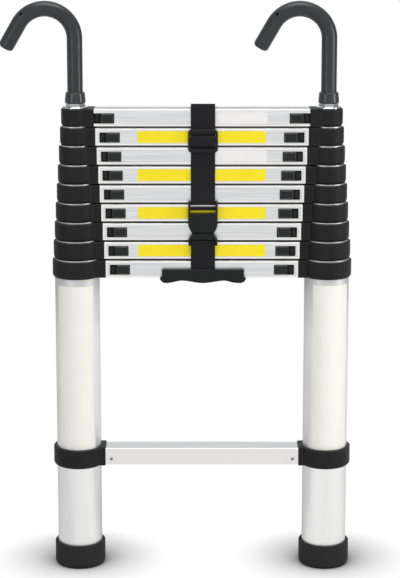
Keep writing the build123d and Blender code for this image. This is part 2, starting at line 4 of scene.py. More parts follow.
import bpy
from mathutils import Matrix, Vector


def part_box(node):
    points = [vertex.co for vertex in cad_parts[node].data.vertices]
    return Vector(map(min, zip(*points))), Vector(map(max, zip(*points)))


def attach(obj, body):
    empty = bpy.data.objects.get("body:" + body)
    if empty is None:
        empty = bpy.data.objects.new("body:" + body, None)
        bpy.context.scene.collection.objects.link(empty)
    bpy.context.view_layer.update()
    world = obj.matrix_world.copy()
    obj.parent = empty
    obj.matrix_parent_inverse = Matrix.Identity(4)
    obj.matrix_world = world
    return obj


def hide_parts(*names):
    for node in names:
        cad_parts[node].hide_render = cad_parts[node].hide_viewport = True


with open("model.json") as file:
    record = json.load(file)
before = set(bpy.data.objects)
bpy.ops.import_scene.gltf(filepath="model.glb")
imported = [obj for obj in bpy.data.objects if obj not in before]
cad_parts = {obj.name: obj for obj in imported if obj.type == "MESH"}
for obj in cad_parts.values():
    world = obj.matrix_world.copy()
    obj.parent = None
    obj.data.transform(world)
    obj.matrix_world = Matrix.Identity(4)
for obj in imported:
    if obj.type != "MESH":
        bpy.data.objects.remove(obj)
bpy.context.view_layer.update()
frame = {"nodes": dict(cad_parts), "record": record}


# Stile tubes: nine cold-drawn, clear anodised aluminium tubes slide inside each other in each stile.
# They are pale and satin. Drawing lines, really under 0.1 mm wide, are drawn 0.8 mm wide so that they show.
# Painted shade darkens the tubes where a collar closes over them, and the top of the base tubes, under the
# base collar.
def linear(code):
    """Linear colour of an sRGB hex value."""
    channels = [int(code[start:start + 2], 16) / 255 for start in (1, 3, 5)]
    return [c / 12.92 if c <= 0.04045 else ((c + 0.055) / 1.055) ** 2.4 for c in channels] + [1.0]


def add_node(owner, kind, inputs=None, **settings):
    """Adds a node to a material or world, with its settings and the values or links of its inputs."""
    tree = owner.node_tree
    made = tree.nodes.new(kind)
    for name, value in settings.items():
        setattr(made, name, value)
    for name, value in (inputs or {}).items():
        if isinstance(value, bpy.types.NodeSocket):
            tree.links.new(value, made.inputs[name])
        else:
            made.inputs[name].default_value = value
    return made


def new_finish(name, **sockets):
    """A material with its shader's own sockets set. Returns the material and its shader."""
    material = bpy.data.materials.new(name)
    material.use_nodes = True
    shader = material.node_tree.nodes["Principled BSDF"]
    for socket, value in sockets.items():
        shader.inputs[socket.replace("_", " ")].default_value = value
    return material, shader


def link(material, shader, **outputs):
    """Links node outputs to the shader's sockets."""
    for socket, output in outputs.items():
        material.node_tree.links.new(output, shader.inputs[socket.replace("_", " ")])


def dress(material, *names):
    """Gives CAD nodes their finish."""
    for name in names:
        frame["nodes"][name].material_slots[0].material = material


mm = 0.001
sections = range(1, 10)
drawing_line = 0.8 * mm
streak_squeeze = 0.012
# Painted shade: where parts close over a surface, it darkens towards this colour.
shade_reach = 7 * mm
shade_colour = linear("#1d1d1e")
edge_tint = linear("#d2d2d2")


def tube_skin(name, reach, shut, light, deep, unshaded_to, shaded_from):
    """Anodised tube with drawing lines, with painted shade above a height, darkest where it is shut in."""
    material, shader = new_finish(name, Metallic=1.0, Specular_Tint=edge_tint)
    place = add_node(material, "ShaderNodeTexCoord").outputs["Object"]
    lines = add_node(material, "ShaderNodeMapping", {"Vector": place, "Scale": (1, 1, streak_squeeze)})
    streaks = add_node(
        material, "ShaderNodeTexNoise",
        {"Vector": lines.outputs["Vector"], "Scale": 1 / drawing_line, "Detail": 3.0},
    )
    tone = add_node(material, "ShaderNodeValToRGB", {"Fac": streaks.outputs["Fac"]})
    tone.color_ramp.elements[0].color = linear("#e2e2e2")
    tone.color_ramp.elements[1].color = linear("#f2f1f0")
    # Painted shade: ambient occlusion darkens the tube where a collar closes over it.
    shelter = add_node(material, "ShaderNodeAmbientOcclusion", {"Distance": reach})
    closed = add_node(
        material, "ShaderNodeMapRange",
        {
            "Value": shelter.outputs["AO"], "From Min": 1.0, "From Max": shut,
            "To Min": light, "To Max": deep,
        },
    )
    axes = add_node(material, "ShaderNodeSeparateXYZ", {"Vector": place})
    above = add_node(
        material, "ShaderNodeMapRange",
        {"Value": axes.outputs["Z"], "From Min": unshaded_to, "From Max": shaded_from},
    )
    painted_shade = add_node(
        material, "ShaderNodeMath",
        {0: closed.outputs["Result"], 1: above.outputs["Result"]}, operation="MULTIPLY",
    )
    shaded_tone = add_node(
        material, "ShaderNodeMixRGB",
        {"Fac": painted_shade.outputs["Value"], "Color1": tone.outputs["Color"], "Color2": shade_colour},
    )
    gloss = add_node(
        material, "ShaderNodeMapRange",
        {"Value": streaks.outputs["Fac"], "To Min": 0.34, "To Max": 0.48},
    )
    relief = add_node(
        material, "ShaderNodeBump",
        {"Height": streaks.outputs["Fac"], "Strength": 0.05, "Distance": 0.02 * mm},
    )
    link(
        material, shader, Base_Color=shaded_tone.outputs["Color"],
        Roughness=gloss.outputs["Result"], Normal=relief.outputs["Normal"],
    )
    return material


# The base tube's painted shade lies only near its top, under the base collar.
base_skin = tube_skin(
    "drawn_aluminium_base", reach=25 * mm, shut=0.88, light=0.28, deep=0.4,
    unshaded_to=380 * mm, shaded_from=456 * mm,
)
dress(base_skin, "tubes_1")
# A sliding tube may get painted shade anywhere, so its unshaded height lies under the floor.
sliding_skin = tube_skin(
    "drawn_aluminium_sliding", reach=shade_reach, shut=0.4, light=0.0, deep=0.85,
    unshaded_to=-1.0, shaded_from=0.0,
)
dress(sliding_skin, *[f"tubes_{section}" for section in sections[1:]], "top_plugs")


# Collars and clamps: injection-moulded glass-filled nylon, pressed and pinned on the tubes.
# The mould is spark-eroded, so the black skin is matte; its rounded edges are painted paler, a painted
# highlight.
# Its fine even grain is drawn 0.7 mm wide, several times its real size, so that it shows.
grain_size = 0.7 * mm
mould_cloud = 22 * mm
collar_edge = 2.2 * mm


def highlight_edges(material, edges, colour, highlight_code):
    """Mixes in a paler tone where a rounded edge's normal leaves its face's, a painted edge highlight."""
    face = add_node(material, "ShaderNodeNewGeometry")
    same = add_node(
        material, "ShaderNodeVectorMath",
        {0: edges.outputs["Normal"], 1: face.outputs["Normal"]}, operation="DOT_PRODUCT",
    )
    edge_highlight = add_node(
        material, "ShaderNodeMapRange",
        {"Value": same.outputs["Value"], "From Min": 0.99, "From Max": 0.85},
    )
    return add_node(
        material, "ShaderNodeMixRGB",
        {"Fac": edge_highlight.outputs["Result"], "Color1": colour, "Color2": linear(highlight_code)},
    )


collar_finish, shader = new_finish("black_nylon_spark_eroded", Specular_IOR_Level=0.16)
place = add_node(collar_finish, "ShaderNodeTexCoord").outputs["Object"]
grain = add_node(
    collar_finish, "ShaderNodeTexNoise", {"Vector": place, "Scale": 1 / grain_size, "Detail": 2.0},
)
cloud = add_node(
    collar_finish, "ShaderNodeTexNoise", {"Vector": place, "Scale": 1 / mould_cloud, "Detail": 3.0},
)
tone = add_node(collar_finish, "ShaderNodeValToRGB", {"Fac": cloud.outputs["Fac"]})
tone.color_ramp.elements[0].color = linear("#131314")
tone.color_ramp.elements[1].color = linear("#1b1b1c")
gloss = add_node(
    collar_finish, "ShaderNodeMapRange",
    {"Value": cloud.outputs["Fac"], "To Min": 0.48, "To Max": 0.60},
)
edges = add_node(collar_finish, "ShaderNodeBevel", {"Radius": collar_edge}, samples=6)
# Painted highlight on the collars' and clamps' rounded edges.
highlighted = highlight_edges(collar_finish, edges, tone.outputs["Color"], "#3a3a3b")
relief = add_node(
    collar_finish, "ShaderNodeBump",
    {
        "Height": grain.outputs["Fac"], "Strength": 0.25, "Distance": 0.05 * mm,
        "Normal": edges.outputs["Normal"],
    },
)
link(
    collar_finish, shader, Base_Color=highlighted.outputs["Color"],
    Roughness=gloss.outputs["Result"], Normal=relief.outputs["Normal"],
)
lock_collars = [f"lock_collars_{section}" for section in sections[:-1]]
dress(collar_finish, *lock_collars, "top_collars", "lower_clamps")


# Rungs: extruded aluminium boxes, sawn to length and held between the collars.
# The raised rims are painted paler than the greyer sunk panels, a painted highlight, and least so on the
# lowest rung.
# Die lines run along the rung; they are drawn 1 mm wide so that they show. Painted shade darkens the level
# faces in the gaps.
rungs = range(1, 11)
die_line = 1.0 * mm
rim_depth = -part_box("rung_2")[0].y
panel_sink = 0.4 * mm
rim_foot = rim_depth - 0.8 * panel_sink
rim_top = rim_depth - 0.3 * panel_sink


def rung_skin(name, rim_highlight_code, glance_code):
    """Extruded aluminium with die lines, a painted highlight on the raised rims, its own glancing tint and
    painted shade in the gaps.
    """
    material, shader = new_finish(name, Metallic=1.0, Specular_Tint=linear(glance_code))
    place = add_node(material, "ShaderNodeTexCoord").outputs["Object"]
    lines = add_node(material, "ShaderNodeMapping", {"Vector": place, "Scale": (streak_squeeze, 1, 1)})
    streaks = add_node(
        material, "ShaderNodeTexNoise",
        {"Vector": lines.outputs["Vector"], "Scale": 1 / die_line, "Detail": 3.0},
    )
    axes = add_node(material, "ShaderNodeSeparateXYZ", {"Vector": place})
    depth = add_node(material, "ShaderNodeMath", {0: axes.outputs["Y"]}, operation="ABSOLUTE")
    # Painted highlight: the raised rims are painted paler than the panels.
    rim = add_node(
        material, "ShaderNodeMapRange",
        {"Value": depth.outputs["Value"], "From Min": rim_foot, "From Max": rim_top},
    )
    panel_tone = add_node(material, "ShaderNodeValToRGB", {"Fac": streaks.outputs["Fac"]})
    panel_tone.color_ramp.elements[0].position = 0.35
    panel_tone.color_ramp.elements[0].color = linear("#d3d4d5")
    panel_tone.color_ramp.elements[1].position = 0.65
    panel_tone.color_ramp.elements[1].color = linear("#e5e6e6")
    panel_and_rim_highlight = add_node(
        material, "ShaderNodeMixRGB",
        {"Fac": rim.outputs["Result"], "Color1": panel_tone.outputs["Color"], "Color2": linear(rim_highlight_code)},
    )
    # Painted shade: ambient occlusion darkens the level faces in the gaps between rungs.
    shelter = add_node(material, "ShaderNodeAmbientOcclusion", {"Distance": shade_reach})
    closed = add_node(
        material, "ShaderNodeMapRange",
        {"Value": shelter.outputs["AO"], "From Min": 0.9, "From Max": 0.4},
    )
    facing = add_node(material, "ShaderNodeTexCoord").outputs["Normal"]
    turned = add_node(material, "ShaderNodeSeparateXYZ", {"Vector": facing})
    level = add_node(material, "ShaderNodeMath", {0: turned.outputs["Z"]}, operation="ABSOLUTE")
    painted_shade = add_node(
        material, "ShaderNodeMath",
        {0: closed.outputs["Result"], 1: level.outputs["Value"]}, operation="MULTIPLY",
    )
    tone = add_node(
        material, "ShaderNodeMixRGB",
        {"Fac": painted_shade.outputs["Value"], "Color1": panel_and_rim_highlight.outputs["Color"], "Color2": shade_colour},
    )
    gloss = add_node(
        material, "ShaderNodeMapRange",
        {"Value": streaks.outputs["Fac"], "To Min": 0.30, "To Max": 0.44},
    )
    relief = add_node(
        material, "ShaderNodeBump",
        {"Height": streaks.outputs["Fac"], "Strength": 0.06, "Distance": 0.02 * mm},
    )
    link(
        material, shader, Base_Color=tone.outputs["Color"],
        Roughness=gloss.outputs["Result"], Normal=relief.outputs["Normal"],
    )
    return material


# The lowest rung's glancing tint is paler, a painted light on its top face; the other rungs' is darker.
dress(rung_skin("extruded_aluminium_lit_top", "#e4e3e1", "#f0f0f0"), "rung_1")
rim_highlighted_rungs = rung_skin("extruded_aluminium_highlighted_rims", "#ecebe9", "#d6d6d6")
dress(rim_highlighted_rungs, *[f"rung_{rung}" for rung in rungs[1:]])


# Lock buttons and top covers: moulded ABS sliders in the openings of the rungs' front walls.
# They are satin black, polished a little by thumbs, with a painted highlight on their rims.
# The parts that lie deep in the opening get painted shade: dark, and dull in reflection.
thumb_mark = 6.25 * mm
button_edge = 0.7 * mm
button_shine = 0.3
button_finish, shader = new_finish("black_abs_satin", Specular_IOR_Level=button_shine)
place = add_node(button_finish, "ShaderNodeTexCoord").outputs["Object"]
grain = add_node(
    button_finish, "ShaderNodeTexNoise", {"Vector": place, "Scale": 1 / grain_size, "Detail": 2.0},
)
cloud = add_node(
    button_finish, "ShaderNodeTexNoise", {"Vector": place, "Scale": 1 / thumb_mark, "Detail": 3.0},
)
tone = add_node(button_finish, "ShaderNodeValToRGB", {"Fac": cloud.outputs["Fac"]})
tone.color_ramp.elements[0].color = linear("#0c0d0d")
tone.color_ramp.elements[1].color = linear("#131414")
gloss = add_node(
    button_finish, "ShaderNodeMapRange",
    {"Value": cloud.outputs["Fac"], "To Min": 0.26, "To Max": 0.36},
)
edges = add_node(button_finish, "ShaderNodeBevel", {"Radius": button_edge}, samples=6)
# Painted highlight on the buttons' rims.
highlighted = highlight_edges(button_finish, edges, tone.outputs["Color"], "#747575")
# Painted shade: ambient occlusion darkens the parts deep in the opening and dims their reflection.
shelter = add_node(button_finish, "ShaderNodeAmbientOcclusion", {"Distance": shade_reach})
closed = add_node(
    button_finish, "ShaderNodeMapRange",
    {"Value": shelter.outputs["AO"], "From Min": 0.97, "From Max": 0.6},
)
shaded_tone = add_node(
    button_finish, "ShaderNodeMixRGB",
    {"Fac": closed.outputs["Result"], "Color1": highlighted.outputs["Color"], "Color2": linear("#060606")},
)
shine = add_node(
    button_finish, "ShaderNodeMapRange",
    {"Value": closed.outputs["Result"], "To Min": button_shine, "To Max": 0.1 * button_shine},
)
relief = add_node(
    button_finish, "ShaderNodeBump",
    {
        "Height": grain.outputs["Fac"], "Strength": 0.15, "Distance": 0.04 * mm,
        "Normal": edges.outputs["Normal"],
    },
)
link(
    button_finish, shader, Base_Color=shaded_tone.outputs["Color"], Roughness=gloss.outputs["Result"],
    Specular_IOR_Level=shine.outputs["Result"], Normal=relief.outputs["Normal"],
)
buttons = [f"button_{rung}_{side}" for rung in rungs[1:-1] for side in ("left", "right")]
dress(button_finish, *buttons, "top_rung_covers")


# Rivets: bare aluminium blind rivets, set from the front and back into the lowest rung's ends.
# Setting leaves the domes bright, with faint marks; the broken stem's hole in the middle is not modelled,
# and its shade is painted dark.
setting_mark = 1.1 * mm
rivet_finish, shader = new_finish("bare_aluminium_set_rivet", Metallic=1.0)
place = add_node(rivet_finish, "ShaderNodeTexCoord").outputs["Object"]
marks = add_node(
    rivet_finish, "ShaderNodeTexNoise", {"Vector": place, "Scale": 1 / setting_mark, "Detail": 2.0},
)
tone = add_node(rivet_finish, "ShaderNodeValToRGB", {"Fac": marks.outputs["Fac"]})
tone.color_ramp.elements[0].color = linear("#a9a9a9")
tone.color_ramp.elements[1].color = linear("#cfcfcd")
rivet_low, rivet_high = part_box("rung_rivets")
rivet_r = (rivet_high.z - rivet_low.z) / 2
stem_r = 0.30 * rivet_r
dome_from = 0.55 * rivet_r
axes = add_node(rivet_finish, "ShaderNodeSeparateXYZ", {"Vector": place})
aside = add_node(rivet_finish, "ShaderNodeMath", {0: axes.outputs["X"]}, operation="ABSOLUTE")
across = add_node(
    rivet_finish, "ShaderNodeMath",
    {0: aside.outputs["Value"], 1: rivet_high.x - rivet_r}, operation="SUBTRACT",
)
upward = add_node(
    rivet_finish, "ShaderNodeMath",
    {0: axes.outputs["Z"], 1: rivet_low.z + rivet_r}, operation="SUBTRACT",
)
offset = add_node(
    rivet_finish, "ShaderNodeCombineXYZ", {"X": across.outputs["Value"], "Y": upward.outputs["Value"]},
)
out = add_node(rivet_finish, "ShaderNodeVectorMath", {0: offset.outputs["Vector"]}, operation="LENGTH")
# Painted shade of the unmodelled stem hole: dark within the stem's radius.
stem_hole_shade = add_node(
    rivet_finish, "ShaderNodeMapRange",
    {"Value": out.outputs["Value"], "From Min": stem_r, "From Max": dome_from},
)
head_and_hole_shade = add_node(
    rivet_finish, "ShaderNodeMixRGB",
    {"Fac": stem_hole_shade.outputs["Result"], "Color1": linear("#3a3a3a"), "Color2": tone.outputs["Color"]},
)
gloss = add_node(
    rivet_finish, "ShaderNodeMapRange",
    {"Value": marks.outputs["Fac"], "To Min": 0.22, "To Max": 0.38},
)
link(rivet_finish, shader, Base_Color=head_and_hole_shade.outputs["Color"], Roughness=gloss.outputs["Result"])
dress(rivet_finish, "rung_rivets")


# Feet: moulded rubber cups, pushed over the lower ends of the base tubes.
# Rubber is the dullest black on the ladder, with a slight bloom.
# Its grain is drawn 1.1 mm wide, coarser than it is, so that it shows.
rubber_grain = 1.1 * mm
rubber_bloom = 36 * mm
foot_finish, shader = new_finish("black_rubber_moulded", Specular_IOR_Level=0.15)
place = add_node(foot_finish, "ShaderNodeTexCoord").outputs["Object"]
grain = add_node(
    foot_finish, "ShaderNodeTexNoise", {"Vector": place, "Scale": 1 / rubber_grain, "Detail": 2.0},
)
bloom = add_node(
    foot_finish, "ShaderNodeTexNoise", {"Vector": place, "Scale": 1 / rubber_bloom, "Detail": 4.0},
)
tone = add_node(foot_finish, "ShaderNodeValToRGB", {"Fac": bloom.outputs["Fac"]})
tone.color_ramp.elements[0].color = linear("#1f1f20")
tone.color_ramp.elements[1].color = linear("#282829")
gloss = add_node(
    foot_finish, "ShaderNodeMapRange",
    {"Value": bloom.outputs["Fac"], "To Min": 0.62, "To Max": 0.78},
)
relief = add_node(
    foot_finish, "ShaderNodeBump",
    {"Height": grain.outputs["Fac"], "Strength": 0.2, "Distance": 0.06 * mm},
)
link(
    foot_finish, shader, Base_Color=tone.outputs["Color"],
    Roughness=gloss.outputs["Result"], Normal=relief.outputs["Normal"],
)
dress(foot_finish, "feet")


# Lock nuts: pressed steel flange nuts under the hooks, bright zinc plated.
# Zinc is cool and shiny, with a faint crystal bloom, drawn 1.4 mm wide so that it shows.
zinc_crystal = 1.4 * mm
nut_finish, shader = new_finish("steel_bright_zinc", Metallic=1.0)
place = add_node(nut_finish, "ShaderNodeTexCoord").outputs["Object"]
crystal = add_node(nut_finish, "ShaderNodeTexVoronoi", {"Vector": place, "Scale": 1 / zinc_crystal})
tone = add_node(nut_finish, "ShaderNodeValToRGB", {"Fac": crystal.outputs["Distance"]})
tone.color_ramp.elements[0].color = linear("#bcc2c3")
tone.color_ramp.elements[1].color = linear("#9ba1a2")
gloss = add_node(
    nut_finish, "ShaderNodeMapRange",
    {"Value": crystal.outputs["Distance"], "To Min": 0.05, "To Max": 0.12},
)
link(nut_finish, shader, Base_Color=tone.outputs["Color"], Roughness=gloss.outputs["Result"])
dress(nut_finish, "hook_lock_nuts")


# Hooks: bent steel tubes dipped in charcoal vinyl, screwed into the top plugs.
# The dip leaves a soft satin skin with a slight orange peel.
peel_size = 2.5 * mm
dip_cloud = 33 * mm
hook_finish, shader = new_finish("charcoal_vinyl_dip", Specular_IOR_Level=0.35)
place = add_node(hook_finish, "ShaderNodeTexCoord").outputs["Object"]
peel = add_node(hook_finish, "ShaderNodeTexNoise", {"Vector": place, "Scale": 1 / peel_size, "Detail": 2.0})
cloud = add_node(
    hook_finish, "ShaderNodeTexNoise", {"Vector": place, "Scale": 1 / dip_cloud, "Detail": 4.0},
)
tone = add_node(hook_finish, "ShaderNodeValToRGB", {"Fac": cloud.outputs["Fac"]})
tone.color_ramp.elements[0].color = linear("#222326")
tone.color_ramp.elements[1].color = linear("#2b2c31")
gloss = add_node(
    hook_finish, "ShaderNodeMapRange",
    {"Value": cloud.outputs["Fac"], "To Min": 0.30, "To Max": 0.36},
)
relief = add_node(
    hook_finish, "ShaderNodeBump",
    {"Height": peel.outputs["Fac"], "Strength": 0.12, "Distance": 0.1 * mm},
)
link(
    hook_finish, shader, Base_Color=tone.outputs["Color"],
    Roughness=gloss.outputs["Result"], Normal=relief.outputs["Normal"],
)
dress(hook_finish, "hook_left", "hook_right")


# Hook sleeves: charcoal plastic rings, moulded smooth and pushed over the feet of the hooks.
# They turn with the hooks and shine a little more than the dip.
sleeve_cloud = 11 * mm
sleeve_finish, shader = new_finish("charcoal_plastic_satin", Specular_IOR_Level=0.4)
place = add_node(sleeve_finish, "ShaderNodeTexCoord").outputs["Object"]
cloud = add_node(
    sleeve_finish, "ShaderNodeTexNoise", {"Vector": place, "Scale": 1 / sleeve_cloud, "Detail": 3.0},
)
tone = add_node(sleeve_finish, "ShaderNodeValToRGB", {"Fac": cloud.outputs["Fac"]})
tone.color_ramp.elements[0].color = linear("#26272a")
tone.color_ramp.elements[1].color = linear("#2d2e31")
gloss = add_node(
    sleeve_finish, "ShaderNodeMapRange",
    {"Value": cloud.outputs["Fac"], "To Min": 0.20, "To Max": 0.28},
)
link(sleeve_finish, shader, Base_Color=tone.outputs["Color"], Roughness=gloss.outputs["Result"])
dress(sleeve_finish, "hook_sleeve_left", "hook_sleeve_right")


# Slide, buckle and grip: moulded acetal and nylon fittings on the carrying strap.
# Acetal comes out of the mould smooth and slightly waxy, almost black.
acetal_cloud = 8.3 * mm
buckle_edge = 2.4 * mm
buckle_finish, shader = new_finish("black_acetal_moulded", Specular_IOR_Level=0.26)
place = add_node(buckle_finish, "ShaderNodeTexCoord").outputs["Object"]
cloud = add_node(
    buckle_finish, "ShaderNodeTexNoise", {"Vector": place, "Scale": 1 / acetal_cloud, "Detail": 3.0},
)
tone = add_node(buckle_finish, "ShaderNodeValToRGB", {"Fac": cloud.outputs["Fac"]})
tone.color_ramp.elements[0].color = linear("#030405")
tone.color_ramp.elements[1].color = linear("#07080a")
gloss = add_node(
    buckle_finish, "ShaderNodeMapRange",
    {"Value": cloud.outputs["Fac"], "To Min": 0.30, "To Max": 0.42},
)
edges = add_node(buckle_finish, "ShaderNodeBevel", {"Radius": buckle_edge}, samples=6)
link(
    buckle_finish, shader, Base_Color=tone.outputs["Color"],
    Roughness=gloss.outputs["Result"], Normal=edges.outputs["Normal"],
)
dress(buckle_finish, "strap_slide", "buckle_socket", "buckle_plug", "carry_grip")


# Webbing: woven polypropylene, 37 mm wide and 1.5 mm thick, looped round the rungs.
# Lengthwise ribs and a cross weave catch the light; the weave is drawn at 2.2 mm, twice its real
# size, so that it shows.
web_thickness = 1.5 * mm
web_air = 0.4 * mm
web_gap = 0.3 * mm
selvedge_round = 0.45 * web_thickness
weave_pitch = 2.2 * mm
yarn_fuzz = 1.1 * mm
web_finish, shader = new_finish("black_polypropylene_webbing", Specular_IOR_Level=0.15, Sheen_Weight=0.06)
along = add_node(web_finish, "ShaderNodeUVMap", uv_map="UVMap")
axes = add_node(web_finish, "ShaderNodeSeparateXYZ", {"Vector": along.outputs["UV"]})
warp_turns = add_node(
    web_finish, "ShaderNodeMath", {0: axes.outputs["Y"], 1: 2 * pi / weave_pitch}, operation="MULTIPLY",
)
weft_turns = add_node(
    web_finish, "ShaderNodeMath", {0: axes.outputs["X"], 1: 2 * pi / weave_pitch}, operation="MULTIPLY",
)
warp = add_node(web_finish, "ShaderNodeMath", {0: warp_turns.outputs["Value"]}, operation="SINE")
weft = add_node(web_finish, "ShaderNodeMath", {0: weft_turns.outputs["Value"]}, operation="SINE")
weave = add_node(
    web_finish, "ShaderNodeMath",
    {0: warp.outputs["Value"], 1: weft.outputs["Value"]}, operation="MULTIPLY",
)
fuzz = add_node(
    web_finish, "ShaderNodeTexNoise",
    {"Vector": along.outputs["UV"], "Scale": 1 / yarn_fuzz, "Detail": 2.0},
)
yarn = add_node(
    web_finish, "ShaderNodeMath", {0: weave.outputs["Value"], 1: fuzz.outputs["Fac"]}, operation="ADD",
)
tone = add_node(
    web_finish, "ShaderNodeMapRange",
    {"Value": yarn.outputs["Value"], "From Min": -0.6, "From Max": 1.6},
)
colour = add_node(web_finish, "ShaderNodeValToRGB", {"Fac": tone.outputs["Result"]})
colour.color_ramp.elements[0].color = linear("#0c0c0e")
colour.color_ramp.elements[1].color = linear("#1d1d20")
gloss = add_node(
    web_finish, "ShaderNodeMapRange",
    {"Value": fuzz.outputs["Fac"], "To Min": 0.55, "To Max": 0.75},
)
relief = add_node(
    web_finish, "ShaderNodeBump",
    {"Height": yarn.outputs["Value"], "Strength": 0.5, "Distance": 0.15 * mm},
)
link(
    web_finish, shader, Base_Color=colour.outputs["Color"],
    Roughness=gloss.outputs["Result"], Normal=relief.outputs["Normal"],
)


def only(piece):
    """Selects one piece and makes it active."""
    bpy.ops.object.select_all(action="DESELECT")
    piece.select_set(True)
    bpy.context.view_layer.objects.active = piece


def apply_all(piece):
    """Applies a piece's modifiers in order."""
    only(piece)
    for modifier in list(piece.modifiers):
        bpy.ops.object.modifier_apply(modifier=modifier.name)


def lay_webbing(name, node, body, route):
    """Weaves a strap along a smooth line through (y, z) points, in place of a CAD node."""
    low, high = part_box(node)
    line = bpy.data.curves.new(name, "CURVE")
    line.dimensions = "2D"
    spline = line.splines.new("NURBS")
    spline.points.add(len(route) - 1)
    for point, (y, z) in zip(spline.points, route):
        point.co = (y, z, 0, 1)
    spline.order_u = 3
    spline.use_endpoint_u = True
    spline.resolution_u = 8
    line.extrude = (high.x - low.x) / 2
    strap = bpy.data.objects.new(name, line)
    bpy.context.collection.objects.link(strap)
    strap.rotation_euler = (pi / 2, 0, pi / 2)
    strap.location.x = (low.x + high.x) / 2
    only(strap)
    bpy.ops.object.convert(target="MESH")
    bpy.ops.object.transform_apply(location=True, rotation=True, scale=True)

    mesh = strap.data
    reached = [0.0]
    for row in range(1, len(mesh.vertices) // 2):
        step = mesh.vertices[2 * row].co - mesh.vertices[2 * row - 2].co
        reached.append(reached[-1] + step.length)
    width = high.x - low.x
    for corner in mesh.loops:
        uv = mesh.uv_layers["UVMap"].data[corner.index].uv
        uv.x, uv.y = reached[corner.vertex_index // 2], width * (corner.vertex_index % 2)

    bpy.ops.object.mode_set(mode="EDIT")
    bpy.ops.mesh.select_all(action="DESELECT")
    bpy.ops.mesh.select_mode(type="EDGE")
    bpy.ops.object.mode_set(mode="OBJECT")
    for edge in mesh.edges:
        start, end = (mesh.vertices[index].co for index in edge.vertices)
        edge.select = abs(end.x - start.x) > width / 2
    bpy.ops.object.mode_set(mode="EDIT")
    bpy.ops.mesh.subdivide(number_cuts=7)
    bpy.ops.object.mode_set(mode="OBJECT")

    thicken = strap.modifiers.new("thickness", "SOLIDIFY")
    thicken.thickness = web_thickness
    thicken.offset = 0
    selvedge = strap.modifiers.new("selvedge", "BEVEL")
    selvedge.width = selvedge_round
    selvedge.segments = 3
    selvedge.limit_method = "ANGLE"
    selvedge.angle_limit = radians(60)
    apply_all(strap)
    bpy.ops.object.shade_smooth_by_angle(angle=radians(50))
    strap.data.materials.append(web_finish)
    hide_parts(node)
    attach(strap, body)


web_half = web_thickness / 2
fold_run = 4 * mm
tuck = 2 * mm
top_low, top_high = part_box("rung_10")
back = top_high.y + web_air + web_half
inner = top_low.y - web_air - web_half
under = top_low.z - web_air - web_half
behind = top_high.z + web_air + web_half

slide_low, slide_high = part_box("strap_slide")
slide_bar = 11.2 * mm
slide_z = (slide_low.z + slide_high.z) / 2
slide_pass = slide_bar / 2 + web_gap + web_half
outer = slide_high.y + web_gap + web_half
over_slide = slide_low.y - web_gap - web_half
arch = 7.6 * mm
over = top_high.z + arch + web_half
arch_slope = (over - behind) / (back - outer)

socket_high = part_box("buckle_socket")[1]
socket_bar = 4.0 * mm
buckle_bar_thickness = 2.8 * mm
over_bar = inner - 2 * (web_half + web_gap) - buckle_bar_thickness
socket_pass = socket_high.z - socket_bar - web_gap - web_half
# From behind the slide it goes under the top rung, up its back and over it, then down through
# the slide and round the bar of the buckle's socket.
lay_webbing("strap_upper_webbing", "strap_upper", "section_9", [
    (inner, slide_z),
    (inner, under - fold_run),
    (inner, under),
    (inner + fold_run, under),
    (back - fold_run, under),
    (back, under),
    (back, under + fold_run),
    (back, behind - fold_run),
    (back, behind),
    (back - fold_run, behind + fold_run * arch_slope),
    (outer + fold_run, over - fold_run * arch_slope),
    (outer, over),
    (outer, over - 2 * fold_run),
    (outer, slide_z + slide_pass + fold_run),
    (outer, slide_z + slide_pass),
    (over_slide, slide_z + slide_pass),
    (over_slide, slide_z + slide_pass - tuck),
    (over_slide, slide_z - slide_pass + tuck),
    (over_slide, slide_z - slide_pass),
    (inner, slide_z - slide_pass),
    (inner, slide_z - slide_pass - fold_run),
    (inner, socket_high.z + 5 * fold_run),
    (over_bar, socket_high.z + fold_run),
    (over_bar, socket_pass + tuck),
    (over_bar, socket_pass),
    (inner, socket_pass),
    (inner, socket_pass + fold_run),
    (inner, socket_high.z + 2 * fold_run),
])

plug_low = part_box("buckle_plug")[0]
plug_bar = 6.5 * mm
plug_pass = plug_low.z + plug_bar + web_gap + web_half
second_low, second_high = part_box("rung_2")
below = second_low.z - web_air - web_half
above = second_high.z + web_air + web_half
# From behind the buckle's plug it goes round the plug's bar, down in front and round the second rung.
lay_webbing("strap_lower_webbing", "strap_lower", "base", [
    (inner, plug_low.z - 2 * fold_run),
    (inner, plug_pass - fold_run),
    (inner, plug_pass),
    (over_bar, plug_pass),
    (over_bar, plug_pass - tuck),
    (over_bar, plug_low.z - web_half),
    (outer, plug_low.z - 4 * fold_run),
    (outer, below + fold_run),
    (outer, below),
    (outer + fold_run, below),
    (back - fold_run, below),
    (back, below),
    (back, below + fold_run),
    (back, above - fold_run),
    (back, above),
    (back - fold_run, above),
    (inner + fold_run, above),
    (inner, above),
    (inner, above + 2 * fold_run),
])


# Films: thin strips of calendered, self-adhesive vinyl, cut to size and rubbed down by hand.
# Yellow and white ones lie on the rungs' sunk panels, a cream one lies along each base tube.
film_thickness = 0.15 * mm
film_corner = 1.5 * mm
film_seat = 0.02 * mm
rubbed_wave = 18 * mm


